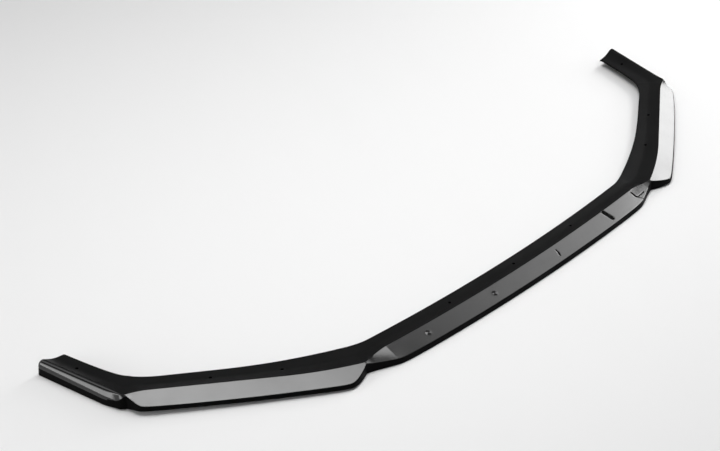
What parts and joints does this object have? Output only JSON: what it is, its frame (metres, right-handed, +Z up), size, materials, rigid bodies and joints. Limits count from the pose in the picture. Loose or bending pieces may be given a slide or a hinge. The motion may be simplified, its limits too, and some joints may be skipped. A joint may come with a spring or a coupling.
{
  "type": "front splitter lip",
  "caption": "Wide, shallow lip that screws up under a car's front bumper: flat flange, raised ridge, three sloping blades with skirts, and an arm swept back at each side.",
  "frame": {"origin": "middle of the part's width and depth, on the level of the lower edges that it stands on", "axes": "+X across the car, -Y to the front of the car, +Z up"},
  "size_m": [1.7642, 0.4804, 0.0334],
  "materials": {
    "gloss_black": "gloss black, as moulded, with faint sink marks and small scuffs"
  },
  "bodies": {
    "root": {"splitter_lip": "gloss_black"}
  },
  "joints": []
}
